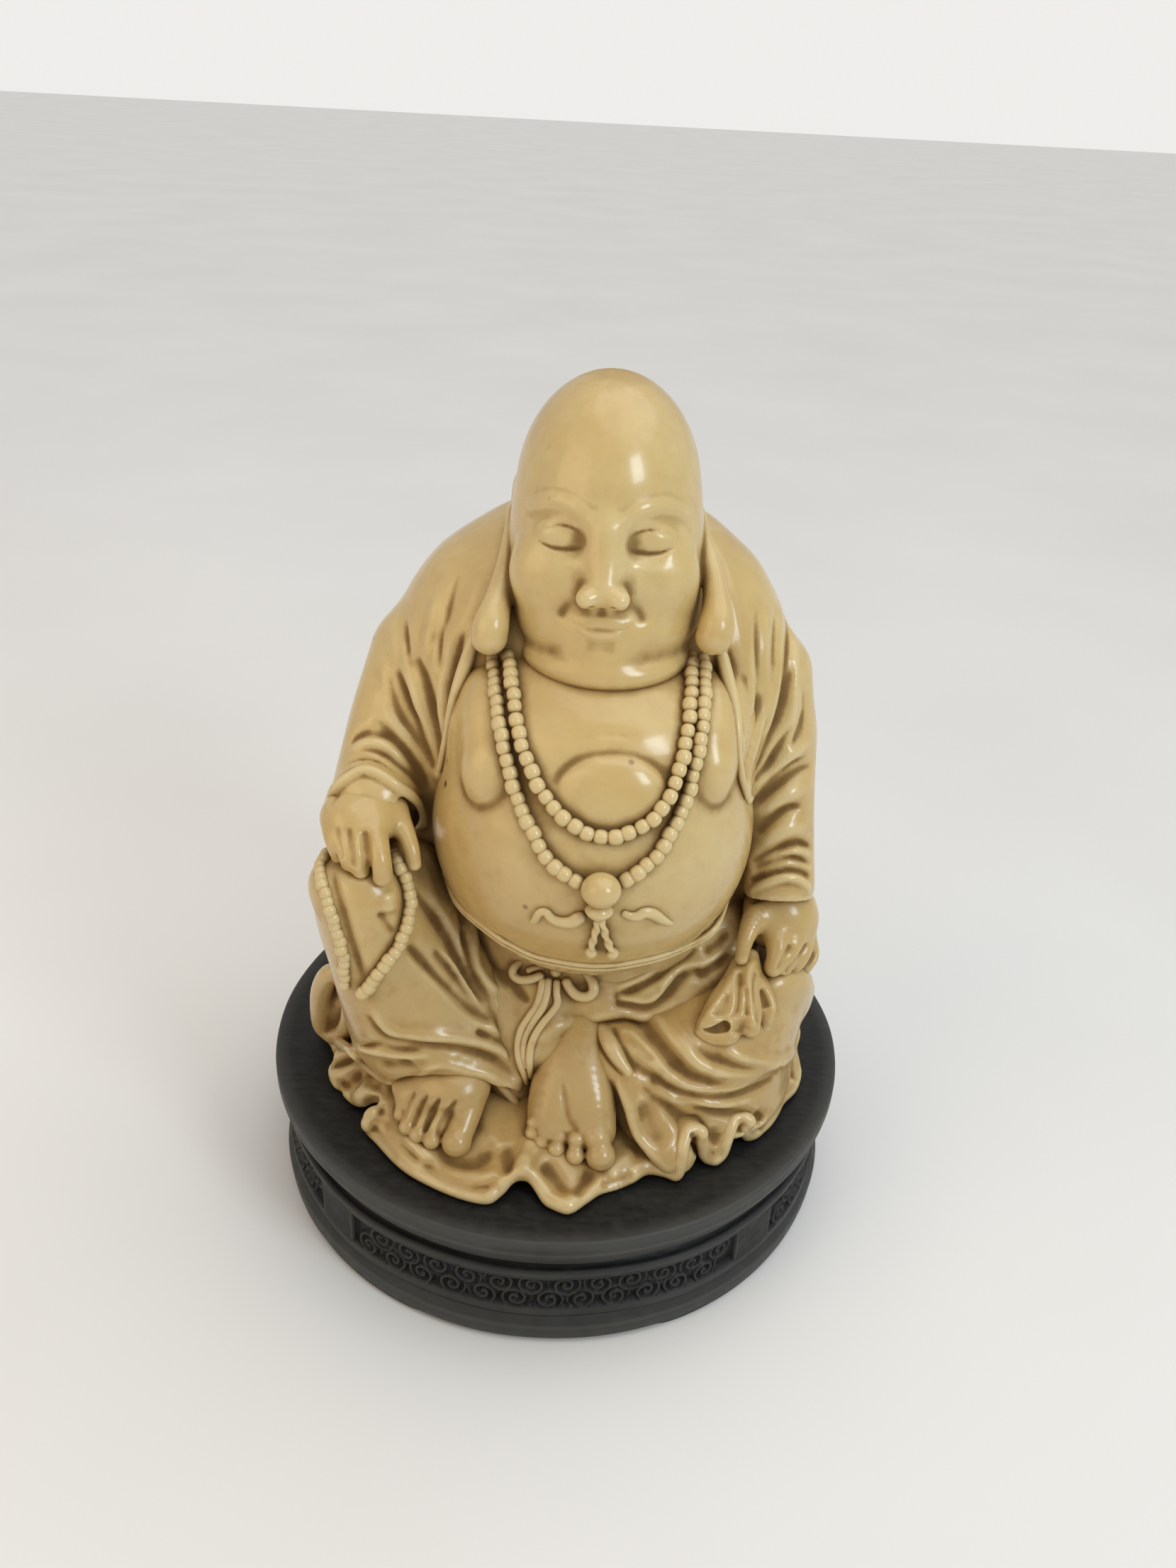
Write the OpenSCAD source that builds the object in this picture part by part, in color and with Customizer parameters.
// Seated laughing monk figure in cast resin, on a round carved wooden stand.
// Origin at the middle of the stand's underside, +Z up, the figure looks along -Y.

/* [Stand] */
// Diameter of the stand across its top board
stand_d = 150; // [140:1:190]
// Thickness of the top board
board_t = 10; // [8:0.5:14]
// Height of the carved apron with the groove above it
apron_h = 17; // [13:0.5:24]
// Height of the plinth band under the apron
plinth_h = 7; // [5:0.5:10]
// Height of the low feet under the plinth
foot_h = 1.5; // [1:0.25:3]
// Number of feet, and of carved panels between them
foot_count = 4; // [3:1:6]
// Angle that each foot takes up round the stand
foot_angle = 50; // [30:1:56]
// Radial width of each foot
foot_w = 14; // [8:1:20]
// Height of the groove under the top board
groove_h = 2.5; // [1.5:0.25:4]
// Depth of the groove behind the apron's face
groove_d = 2.5; // [1:0.25:4]
// Inward slope of the board's edge from top to bottom
board_slope = 3; // [1:0.25:5]
// Depth of the sunk panels on the apron
panel_d = 1.5; // [0.5:0.25:3]
// Width of the plain block between two panels
block_w = 13; // [8:1:20]
// Margin of the panels from the apron's edges
panel_margin = 2.5; // [1:0.25:4]

/* [Figure] */
// Height of the figure above the stand
figure_h = 174; // [145:1:210]
// Width of the head across the temples
head_w = 43; // [36:0.5:50]
// Thickness of the spread hem that the figure sits on
hem_t = 5; // [4:0.25:8]
// Thickness of the robe over the back
robe_t = 7; // [4:0.5:10]
// Thickness of the cloth that hangs from the left hand
cloth_t = 3.2; // [1.5:0.1:4]

/* [Beads and cords] */
// Diameter of the beads
bead_d = 3.3; // [2.4:0.1:4.2]
// Gap between neighbouring beads on a string
bead_gap = 0.1; // [0.05:0.05:0.4]
// Diameter of the large bead at the foot of the outer necklace
guru_d = 10; // [7:0.5:13]
// Diameter of the tassel's cap
cap_d = 6.6; // [4:0.2:9]
// Diameter of the tassel's cord ends and ribbons
tail_d = 2.2; // [1.4:0.1:3]
// Diameter of the waist cord
cord_d = 3.2; // [2:0.1:4]
// Diameter of the robe's edge roll down the chest
lapel_d = 3.6; // [2:0.1:5]

/* [Joints and fits] */
// Diameter of the dowels that locate the figure on the stand
peg_d = 6; // [4:0.5:9]
// Distance between the two dowels
peg_pitch = 60; // [40:1:76]
// Depth of each dowel in the top board
peg_in = 6; // [4:0.5:7]
// Thickness of hem left above a dowel's socket
socket_roof = 1.2; // [0.8:0.1:2]
// Clearance all round a dowel in the figure
peg_clear = 0.3; // [0.2:0.05:0.6]
// Gap between the figure and the stand
seat_gap = 0.3; // [0.2:0.05:0.6]
// Glue line between two bonded pieces
bond_gap = 0.1; // [0.05:0.05:0.2]
// Diameter of the spigot under the head
neck_spigot_d = 14; // [8:0.5:20]
// Diameter of the spigots of the hands
wrist_spigot_d = 6; // [4:0.5:7.5]
// Length of the spigots
spigot_l = 9; // [6:0.5:11]

/* [Hidden] */
$fn = 48;

resin = "#e6dcc4";
dark_wood = "#1d1c1e";
pale_wood = "#a98658";

// Heights of the stand's layers
plinth_z = foot_h;
apron_z = plinth_z + plinth_h;
board_z = apron_z + apron_h;
stand_h = board_z + board_t;
stand_r = stand_d / 2;
// The apron's face stands out a little past the board's underside
apron_lip = 0.5;
apron_r = stand_r - board_slope + apron_lip;
// How far a cut runs past the face that it opens
past = 1;

// Heights of the figure, whose sections below are drawn for a body and a head of these sizes
drawn_body_h = 169;
drawn_head_w = 43;
hem_z = stand_h + seat_gap;
body_z = hem_z + hem_t + bond_gap;
k = (figure_h - hem_t) / drawn_body_h;
head_k = head_w / drawn_head_w;
peg_out = seat_gap + hem_t - socket_roof - peg_clear;

// Roundness of the body's sections: 2 is an ellipse, more is squarer
squareness = 2.4;
section_sides = 40;
tube_sides = 8;

// Body sections from the bottom up: height, centre x, centre y, half width, half depth
seat_rows = k * [[0, 4, 10, 29, 27], [30, 4, 9, 30, 28], [37.4, 5, 8, 31, 27]];
belly_rows = k * [
    [38.2, 6, 3, 32, 33], [44, 6, -2, 34, 38], [52, 6, -6, 35.5, 42], [62, 6, -8, 36, 44.5],
    [72, 6, -9, 36, 45], [82, 6, -8, 36, 44], [90, 6, -6.5, 36, 41.5], [97, 6, -4, 36, 38],
    [104, 6, -3, 35.5, 36], [108.5, 6, -2.5, 33, 33], [111.5, 6, -3, 27, 28]
];
torso_rows = concat(seat_rows, smooth(belly_rows));
// Robe behind the neck: height, centre x, edge y, half width, depth of its hollow, depth of its back
nape_rows = k * [
    [112, 6, 6, 36, 15.5, 29], [119, 6, 7, 33, 15.5, 28], [126, 6, 8, 27, 14.5, 23], [133, 6, 9, 18, 12, 16]
];
right_sleeve_rows = smooth(k * [
    [62, -45, -7, 9, 9], [68, -45.5, -9, 12.5, 13.5], [81.5, -45.5, -10, 15, 24],
    [94.5, -45, -2, 14.5, 22], [107.5, -42, 2, 11.5, 18], [117.5, -38, 4, 7.5, 13],
    [123, -36, 5, 3, 6]
]);
left_sleeve_rows = smooth(k * [
    [44, 52, -13, 8, 8], [50, 52, -12, 9.5, 12], [60, 53, -8, 10.5, 17], [72, 53.5, -4, 11, 20],
    [88, 53.5, 2, 11, 20], [102, 52.5, 4, 10, 18], [113, 50, 5, 7.5, 12], [119, 48.5, 5, 4, 6]
]);
right_leg_rows = smooth(k * [
    [0, -42.5, -14, 15, 34], [20, -43, -18, 14.5, 31], [37.5, -43.5, -25, 13.5, 23.5],
    [51.5, -44, -30, 11.5, 16], [59.5, -44.5, -32, 8.5, 10], [63, -44.5, -32, 4, 5]
]);
// The head's sections stand on the torso's flat top
neck_z = k * 111.5 + bond_gap;
head_rows = smooth([for (r = [
    [0, 6, -8, 17, 17], [4.5, 6, -9, 20, 20], [12, 6, -8, 21.5, 22.5], [21, 6, -6, 21.5, 23.5],
    [31, 5.7, -4, 21.5, 24], [41, 5.5, -3, 20.5, 23], [49, 5.4, -2, 17.5, 20],
    [54.5, 5.3, -1.5, 11.5, 13.5], [57.3, 5.3, -1, 4, 5]
]) [neck_z + k * r[0], k * r[1], k * r[2], k * head_k * r[3], k * head_k * r[4]]]);

// The spread hem's outline as seen from above, going round from the right side
hem_points = k * [
    [66, -8], [61, -33], [47, -40], [33, -53], [22, -49], [5, -66], [-8, -58], [-29, -65],
    [-49, -48], [-56, -36], [-61, -16], [-56, 12], [-42, 36], [-18, 49], [10, 52], [38, 45], [58, 22]
];

// The folded left leg under the robe: centre and radius at the hip, the knee and the shin's end
left_leg_balls = k * [[48, 12, 10.5, 13], [52, -14, 16, 14.5], [25, -31, 11, 12.5]];

// The skirt over the lap: its side outline as y and z, and how far it reaches from left to right
skirt_back = -19.3;
skirt_top = 37;
skirt_front = k * [[skirt_back, 0], [-47, 0], [-45, 9], [-37, 26], [-29, skirt_top], [skirt_back, skirt_top]];
skirt_x = k * [-23, -4];
// Its two blocks above the left foot and the left shin: near and far corner of each
lap_blocks = k * [
    [[-4, -34, 24.5], [24, skirt_back, skirt_top]],
    [[24, -31, 29], [36, skirt_back, skirt_top]]
];

// How far a spigot starts inside its own piece, and the room past its end in the other piece
spigot_root = k * 4;
bore_end = 1;
// Wrist spigots: where each leaves its hand, in the body's frame
right_wrist = k * [-45, -27, 69];
left_wrist = k * [52, -13, 39];

// One row of a list of sections, at any height between its first and last
function row_at(rows, z) = [for (i = [0:4]) lookup(z, [for (r = rows) [r[0], r[i]]])];

// Depth of a section at x, measured from its centre
function depth_at(row, x) =
    row[4] * pow(1 - pow(min(1, abs(x - row[1]) / row[3]), squareness), 1 / squareness);

// Front of a body at x and z
function front_y(rows, x, z) = let (row = row_at(rows, z)) row[2] - depth_at(row, x);

// A point lifted by h square to the front of a body
function lifted(rows, x, z, h) = let (
    step = 0.2,
    y = front_y(rows, x, z),
    slope_x = (front_y(rows, x + step, z) - front_y(rows, x - step, z)) / (2 * step),
    slope_z = (front_y(rows, x, z + step) - front_y(rows, x, z - step)) / (2 * step),
    n = [slope_x, -1, slope_z]
) [x, y, z] + n / norm(n) * h;

// A smooth curve through points, n steps to each span, closed or open
function spline_point(a, b, c, d, t) =
    0.5 * (2 * b + (c - a) * t + (2 * a - 5 * b + 4 * c - d) * t * t + (3 * b - a - 3 * c + d) * t * t * t);
function closed_spline(p, n) = let (m = len(p)) [
    for (i = [0:m - 1], j = [0:n - 1])
        spline_point(p[(i + m - 1) % m], p[i], p[(i + 1) % m], p[(i + 2) % m], j / n)
];
function open_spline(p, n) = let (m = len(p) - 1) concat([
    for (i = [0:m - 1], j = [0:n - 1])
        spline_point(p[max(i - 1, 0)], p[i], p[i + 1], p[min(i + 2, m)], j / n)
], [p[m]]);

// Rows of sections with one more between each pair
function smooth(rows) = open_spline(rows, 2);

// Lengths along a line of points, and the point at a length
function lengths(p) = [
    for (i = 0, s = 0; i < len(p); s = s + norm(p[min(i + 1, len(p) - 1)] - p[i]), i = i + 1) s
];
function point_at(p, s, at) = [for (c = [0:2]) lookup(at, [for (i = [0:len(p) - 1]) [s[i], p[i][c]]])];

// Closed rings of an even number of points joined into one skin, with flat ends
module skin(rings) {
    n = len(rings[0]);
    m = len(rings);
    top = (m - 1) * n;
    sides = [for (i = [0:m - 2], j = [0:n - 1], h = [0, 1]) let (j2 = (j + 1) % n)
        h == 0 ? [i * n + j, i * n + j2, (i + 1) * n + j2] : [i * n + j, (i + 1) * n + j2, (i + 1) * n + j]];
    ends = [for (j = [0:n / 2 - 2], h = [0, 1])
        h == 0 ? [n - 1 - j, n - 2 - j, j + 1, j] : [top + j, top + j + 1, top + n - 2 - j, top + n - 1 - j]];
    polyhedron(points = [for (r = rings, p = r) p], faces = concat(sides, ends));
}

// A body from its rows of sections
module lofted(rows) {
    skin([for (r = rows) [for (i = [0:section_sides - 1]) let (
        a = -360 * i / section_sides,
        c = cos(a),
        s = sin(a)
    ) [
        r[1] + r[3] * sign(c) * pow(abs(c), 2 / squareness),
        r[2] + r[4] * sign(s) * pow(abs(s), 2 / squareness),
        r[0]
    ]]]);
}

// A round tube along a line of points
module tube(path, d) {
    m = len(path) - 1;
    skin([for (i = [0:m]) let (
        t = path[min(i + 1, m)] - path[max(i - 1, 0)],
        forward = t / norm(t),
        side = cross(forward, abs(forward[2]) < 0.9 ? [0, 0, 1] : [0, 1, 0]),
        u = side / norm(side),
        v = cross(u, forward)
    ) [for (j = [0:tube_sides - 1]) let (a = 360 * j / tube_sides)
        path[i] + d / 2 * (u * cos(a) + v * sin(a))]]);
}

// Beads along a line of points, from one length to another
module beads(path, from, to) {
    s = lengths(path);
    pitch = bead_d + bead_gap;
    count = floor((to - from) / pitch);
    spare = (to - from - count * pitch) / 2;
    for (i = [0:count])
        translate(point_at(path, s, from + spare + i * pitch)) sphere(d = bead_d);
}

// A necklace hangs in a rounded U on the chest, from collar to collar
necklace_x = k * 6;
necklace_top = k * 106;
function necklace(half_w, low) = [for (a = [180:4:360]) let (c = cos(a)) lifted(
    torso_rows,
    necklace_x + half_w * sign(c) * pow(abs(c), 0.75),
    necklace_top - (necklace_top - low) * pow(abs(sin(a)), 0.95),
    bead_d / 2 + bond_gap
)];
inner_path = necklace(k * 19.5, k * 86.5);
outer_path = necklace(k * 24, k * 74);
guru_at = lifted(torso_rows, necklace_x, k * 74, guru_d / 2 + bond_gap);
cap_x_z = [necklace_x, k * 74 - (guru_d + cap_d) / 2];
cap_at = lifted(torso_rows, cap_x_z[0], cap_x_z[1], cap_d / 2 + bond_gap);

module on_body() {
    translate([0, 0, body_z]) children();
}

module peg_places() {
    for (side = [-1, 1])
        translate([side * peg_pitch / 2, 0, 0]) children();
}

module stand_top() {
    edge = 0.6;
    slope_h = board_t * 0.6;
    color(dark_wood) difference() {
        translate([0, 0, board_z]) rotate_extrude() polygon([
            [0, 0], [stand_r - board_slope, 0], [stand_r, slope_h],
            [stand_r, board_t - edge], [stand_r - edge, board_t], [0, board_t]
        ]);
        peg_places() translate([0, 0, stand_h - peg_in]) cylinder(d = peg_d, h = peg_in + past);
    }
}

// The apron is a solid drum with a panel sunk between each pair of feet
module stand_apron() {
    block_angle = block_w / apron_r * 180 / PI;
    panel_angle = 360 / foot_count - block_angle;
    face_h = apron_h - groove_h;
    groove_slope = 0.6;
    color(dark_wood) difference() {
        translate([0, 0, apron_z]) rotate_extrude() polygon([
            [0, 0], [apron_r, 0], [apron_r, face_h], [apron_r - groove_d, face_h + groove_slope],
            [apron_r - groove_d, apron_h], [0, apron_h]
        ]);
        for (i = [0:foot_count - 1])
            rotate([0, 0, i * 360 / foot_count - 90 - panel_angle / 2])
                rotate_extrude(angle = panel_angle)
                    translate([apron_r - panel_d, apron_z + panel_margin])
                        square([panel_d + past, face_h - 2 * panel_margin]);
    }
}

module stand_plinth() {
    flare = 1.2;
    band_h = plinth_h * 0.6;
    color(dark_wood) translate([0, 0, plinth_z]) rotate_extrude() polygon([
        [0, 0], [apron_r + flare, 0], [apron_r + flare, band_h], [apron_r, plinth_h], [0, plinth_h]
    ]);
}

module stand_feet() {
    color(dark_wood) for (i = [0:foot_count - 1])
        rotate([0, 0, (i + 0.5) * 360 / foot_count - 90 - foot_angle / 2])
            rotate_extrude(angle = foot_angle)
                translate([apron_r - foot_w, 0]) square([foot_w, foot_h]);
}

module locating_pegs() {
    color(pale_wood) peg_places() translate([0, 0, stand_h - peg_in])
        cylinder(d = peg_d, h = peg_in + peg_out);
}

// The hem spreads over the stand, with a blind socket for each dowel
module ground_cloth() {
    color(resin) difference() {
        translate([0, 0, hem_z]) linear_extrude(hem_t) polygon(closed_spline(hem_points, 8));
        peg_places() translate([0, 0, hem_z - past])
            cylinder(d = peg_d + 2 * peg_clear, h = past + hem_t - socket_roof);
    }
}

module torso() {
    color(resin) on_body() difference() {
        lofted(torso_rows);
        translate([head_rows[0][1], head_rows[0][2], neck_z - bond_gap - spigot_l - bore_end])
            cylinder(d = neck_spigot_d + 2 * bond_gap, h = spigot_l + bore_end + past);
    }
}

// Bald head with long ears, on a spigot that drops into the torso
module head() {
    ear_x = k * head_w / 2;
    ear_d = k * 6;
    color(resin) on_body() union() {
        lofted(head_rows);
        for (side = [-1, 1])
            hull() {
                translate([k * 5.7 + side * ear_x, k * -1, neck_z + k * 35]) sphere(d = ear_d, $fn = 16);
                translate([k * 5.9 + side * ear_x, k * -5, neck_z + k * 8]) sphere(d = ear_d, $fn = 16);
            }
        translate([head_rows[0][1], head_rows[0][2], neck_z - spigot_l])
            cylinder(d = neck_spigot_d, h = spigot_l + spigot_root);
    }
}

// A sheet down the back from the nape to the hem, thicker behind the neck
module robe_back() {
    back_gap = 2 * bond_gap;
    steps = section_sides / 2;
    rows = concat([for (r = torso_rows) concat(r, r[4] + robe_t)], nape_rows);
    color(resin) on_body() skin([for (r = rows) let (
        across = [for (i = [0:steps]) -cos(180 * i / steps)],
        xs = [for (c = across) r[1] + r[3] * sign(c) * pow(abs(c), 2 / squareness)],
        outer = [for (x = xs) [x, max(r[2] + robe_t, r[2] + depth_at(r, x) * r[5] / r[4]), r[0]]],
        inner = [for (i = [steps:-1:0]) [xs[i], r[2] + depth_at(r, xs[i]) + back_gap, r[0]]]
    ) concat(outer, inner)]);
}

// The skirt falls over the lap beside the left foot and runs on above it
module robe_skirt() {
    color(resin) on_body() union() {
        translate([skirt_x[0], 0, 0]) rotate([90, 0, 90]) linear_extrude(skirt_x[1] - skirt_x[0])
            polygon(skirt_front);
        for (b = lap_blocks)
            translate(b[0]) cube(b[1] - b[0]);
    }
}

module right_sleeve() {
    color(resin) on_body() difference() {
        lofted(right_sleeve_rows);
        translate(right_wrist) rotate([-90, 0, 0])
            cylinder(d = wrist_spigot_d + 2 * bond_gap, h = spigot_l + 2 * spigot_root);
    }
}

module left_sleeve() {
    color(resin) on_body() difference() {
        lofted(left_sleeve_rows);
        translate(left_wrist)
            cylinder(d = wrist_spigot_d + 2 * bond_gap, h = spigot_l + 1.5 * spigot_root);
    }
}

// The rolled edge of the robe down each side of the chest
module lapel(points) {
    path = open_spline(points, 6);
    color(resin) on_body()
        tube([for (p = path) lifted(torso_rows, p[0], p[1], lapel_d / 2 + bond_gap)], lapel_d);
}

module right_lapel() {
    lapel(k * [[-22, 106], [-25, 98], [-26.5, 90], [-27.5, 82]]);
}

module left_lapel() {
    lapel(k * [[34, 106], [37, 96], [38.5, 86], [39.5, 78]]);
}

// A ball given as centre and diameter, and a round bar between two balls
module ball(at, d) {
    translate(at) sphere(d = d, $fn = 16);
}

module bar(a, b, d1, d2) {
    hull() {
        ball(a, d1);
        ball(b, d2);
    }
}

// The right hand lies over the raised knee
module right_hand() {
    color(resin) on_body() union() {
        hull() {
            ball(k * [-45, -29.2, 67.8], k * 9);
            ball(k * [-51, -36, 67.6], k * 7.4);
            ball(k * [-39.5, -36, 67.6], k * 7.4);
        }
        for (i = [0:3])
            bar(k * [-51.4 + 4 * i, -36.5, 67.4], k * [-50.4 + 3.8 * i, -46.5, 61.2], k * 5, k * 4.2);
        bar(k * [-39.5, -32, 67.6], k * [-34.6, -40, 64], k * 5, k * 4.2);
        translate(right_wrist) rotate([-90, 0, 0])
            cylinder(d = wrist_spigot_d, h = spigot_l + spigot_root);
    }
}

// The left hand rests on the folded leg
module left_hand() {
    color(resin) on_body() union() {
        hull() {
            ball(k * [52, -14.5, 37.4], k * 8.4);
            ball(k * [47, -22, 35.6], k * 7);
            ball(k * [57, -22, 35.6], k * 7);
        }
        for (i = [0:3])
            bar(k * [46.8 + 3.5 * i, -22.5, 35.4], k * [45 + 3.5 * i, -30.5, 31], k * 4.8, k * 4);
        bar(k * [47.5, -17, 37], k * [40, -25, 34], k * 5, k * 4.2);
        translate(left_wrist) cylinder(d = wrist_spigot_d, h = spigot_l + spigot_root);
    }
}

module right_leg() {
    color(resin) on_body() lofted(right_leg_rows);
}

// Two swollen runs from hip to knee and from knee to shin, grown by a margin all round
module left_leg_shape(grow) {
    for (i = [0:1])
        hull() for (b = [left_leg_balls[i], left_leg_balls[i + 1]])
            translate([b[0], b[1], b[2]]) sphere(r = b[3] + grow, $fn = 20);
}

module left_leg() {
    reach = k * 100;
    color(resin) on_body() intersection() {
        union() left_leg_shape(0);
        translate([-reach, -reach, 0]) cube([2 * reach, 2 * reach, reach]);
    }
}

// A foot with its ball, its heel end and five toes, along -Y
module foot(heel, ball_at, toe_y, spread) {
    toe_root = 0.62 * spread;
    toe_tip = 0.7 * spread;
    color(resin) on_body() union() {
        hull() {
            ball(heel, k * 9);
            ball(ball_at - [spread, 0, 0], k * 9);
            ball(ball_at + [spread, 0, 0], k * 9);
        }
        for (i = [0:4])
            bar(
                ball_at + [toe_root * (i - 2), k * -2, k * -1.4],
                [ball_at[0] + toe_tip * (i - 2), toe_y, k * 2.9],
                k * 5, k * (4.2 + 0.3 * abs(i - 2))
            );
    }
}

module right_foot() {
    foot(k * [-28.5, -47.5, 6], k * [-28.5, -51, 4.8], k * -57, k * 4.5);
}

module left_foot() {
    foot(k * [5.5, -33, 13.5], k * [5.5, -47, 5.2], k * -54.5, k * 4.5);
}

module inner_necklace() {
    total = lengths(inner_path)[len(inner_path) - 1];
    color(resin) on_body() beads(inner_path, 0, total);
}

// The outer string stops each side of its large bead
module outer_necklace() {
    s = lengths(outer_path);
    total = s[len(s) - 1];
    stop = (guru_d + bead_d) / 2 + bead_gap;
    color(resin) on_body() {
        beads(outer_path, 0, total / 2 - stop);
        beads(outer_path, total / 2 + stop, total);
    }
}

module guru_bead() {
    color(resin) on_body() translate(guru_at) sphere(d = guru_d);
}

// Cap and two hanging cord ends below the large bead
module tassel() {
    drop = k * 11;
    color(resin) on_body() union() {
        translate(cap_at) sphere(d = cap_d);
        for (side = [-1, 1])
            tube([for (t = [0:0.2:1]) lifted(
                torso_rows,
                cap_x_z[0] + side * (1.2 + t) * tail_d * 0.6,
                cap_x_z[1] - cap_d * 0.3 - drop * t,
                tail_d / 2 + bond_gap
            )], tail_d);
    }
}

// Two ribbons that lie across the belly from beside the cap
module tassel_ribbons() {
    reach = k * 12;
    color(resin) on_body() for (side = [-1, 1])
        tube([for (t = [0:0.125:1]) lifted(
            torso_rows,
            cap_x_z[0] + side * (cap_d / 2 + tail_d + t * reach),
            cap_x_z[1] - k * 2.2 * t + k * 1.2 * sin(360 * t),
            tail_d / 2 + bond_gap
        )], tail_d);
}

// The string that hangs from the right hand over the raised shin
module hand_beads() {
    path = [for (p = open_spline(k * [[-37, 57], [-35.4, 50], [-37.5, 42], [-43, 35], [-48, 30]], 10))
        lifted(right_leg_rows, p[0], p[1], bead_d / 2 + bond_gap)];
    s = lengths(path);
    color(resin) on_body() beads(path, 0, s[len(s) - 1]);
}

// The waist cord follows the fold under the belly
cord_rise = 0.4;
waist_z = skirt_top * k + cord_d + cord_rise;
module waist_cord() {
    half_w = k * 28;
    color(resin) on_body() tube([for (t = [-1:0.08:1]) lifted(
        torso_rows, necklace_x + half_w * sin(90 * t), waist_z, cord_d / 2 + bond_gap
    )], cord_d);
}

// Knot, two loops and two tails in front of the cord
module waist_bow() {
    knot_d = cord_d * 1.5;
    bow_d = cord_d * 0.8;
    bow_x = k * -5;
    cord_at = lifted(torso_rows, bow_x, waist_z, cord_d / 2 + bond_gap);
    knot = cord_at - [0, (cord_d + knot_d) / 2 + bond_gap, cord_d];
    loop_r = cord_d * 1.3;
    color(resin) on_body() union() {
        translate(knot) sphere(d = knot_d);
        for (side = [-1, 1])
            translate(knot + [side * (loop_r + knot_d * 0.4), 0, 0]) rotate([90, 0, 0])
                rotate_extrude() translate([loop_r, 0]) circle(d = bow_d);
        for (side = [0, 1])
            tube(open_spline([
                knot, knot + k * [-1 + side * 3, -2.5, -9], knot + k * [-2 + side * 3, -8, -19 - 4 * side]
            ], 4), bow_d);
    }
}

// The cloth held in the left hand falls over the front of the folded leg
module held_cloth() {
    from = k * [27, -60, 5];
    size = k * [16, 26.5, 40];
    color(resin) on_body() intersection() {
        difference() {
            union() left_leg_shape(cloth_t);
            union() left_leg_shape(bond_gap);
        }
        translate(from) cube(size);
    }
}

stand_top();
stand_apron();
stand_plinth();
stand_feet();
locating_pegs();
ground_cloth();
torso();
head();
robe_back();
robe_skirt();
right_sleeve();
left_sleeve();
right_lapel();
left_lapel();
right_hand();
left_hand();
right_leg();
left_leg();
right_foot();
left_foot();
inner_necklace();
outer_necklace();
guru_bead();
tassel();
tassel_ribbons();
hand_beads();
waist_cord();
waist_bow();
held_cloth();
